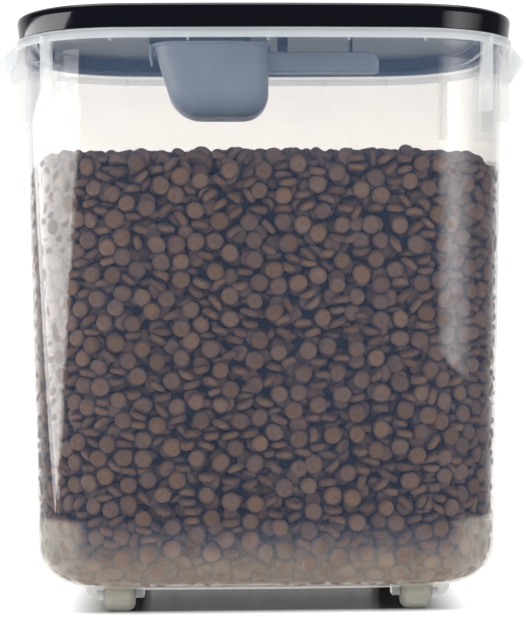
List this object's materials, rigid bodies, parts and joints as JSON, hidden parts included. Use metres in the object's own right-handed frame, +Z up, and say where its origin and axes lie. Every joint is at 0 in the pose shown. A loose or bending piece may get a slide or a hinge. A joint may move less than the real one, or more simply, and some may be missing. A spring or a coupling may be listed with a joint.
{
  "type": "pet food bin",
  "caption": "Rolling rounded-rectangular storage bin for dry pet food: translucent tub with side grips, black press-on lid, and a scoop that hangs under the lid.",
  "frame": {"origin": "on the floor, below the centre of the bin", "axes": "+Z up, the front faces -Y, +X to the right seen from the front, so the side grips are at -X and +X"},
  "size_m": [0.3698, 0.2606, 0.3954],
  "materials": {
    "tub_plastic": "natural polypropylene, translucent, polished outside",
    "lid_plastic": "high gloss",
    "seal_rubber": "soft satin",
    "scoop_plastic": "fine matte",
    "wheel_plastic": "satin, slightly translucent",
    "axle_steel": "drawn wire"
  },
  "bodies": {
    "bin": {"tub": "tub_plastic", "axle_front_left": "axle_steel", "axle_front_right": "axle_steel", "axle_rear_left": "axle_steel", "axle_rear_right": "axle_steel"},
    "lid": {"lid": "lid_plastic", "lid_seal": "seal_rubber"},
    "scoop": {"scoop": "scoop_plastic"},
    "wheel_front_left": {"wheel_front_left": "wheel_plastic"},
    "wheel_front_right": {"wheel_front_right": "wheel_plastic"},
    "wheel_rear_left": {"wheel_rear_left": "wheel_plastic"},
    "wheel_rear_right": {"wheel_rear_right": "wheel_plastic"}
  },
  "joints": [
    {"name": "lid_lift", "type": "slide", "parent": "bin", "child": "lid", "axis": [0, 0, 1], "range_m": [0, 0.3]},
    {"name": "scoop_release", "type": "slide", "parent": "lid", "child": "scoop", "axis": [0, 0, -1], "range_m": [0, 0.03]},
    {"name": "front_left_spin", "type": "hinge", "parent": "bin", "child": "wheel_front_left", "pos_m": [-0.0984, -0.072, 0.012], "axis": [1, 0, 0], "continuous": true},
    {"name": "front_right_spin", "type": "hinge", "parent": "bin", "child": "wheel_front_right", "pos_m": [0.0984, -0.072, 0.012], "axis": [1, 0, 0], "continuous": true},
    {"name": "rear_left_spin", "type": "hinge", "parent": "bin", "child": "wheel_rear_left", "pos_m": [-0.0984, 0.072, 0.012], "axis": [1, 0, 0], "continuous": true},
    {"name": "rear_right_spin", "type": "hinge", "parent": "bin", "child": "wheel_rear_right", "pos_m": [0.0984, 0.072, 0.012], "axis": [1, 0, 0], "continuous": true}
  ]
}
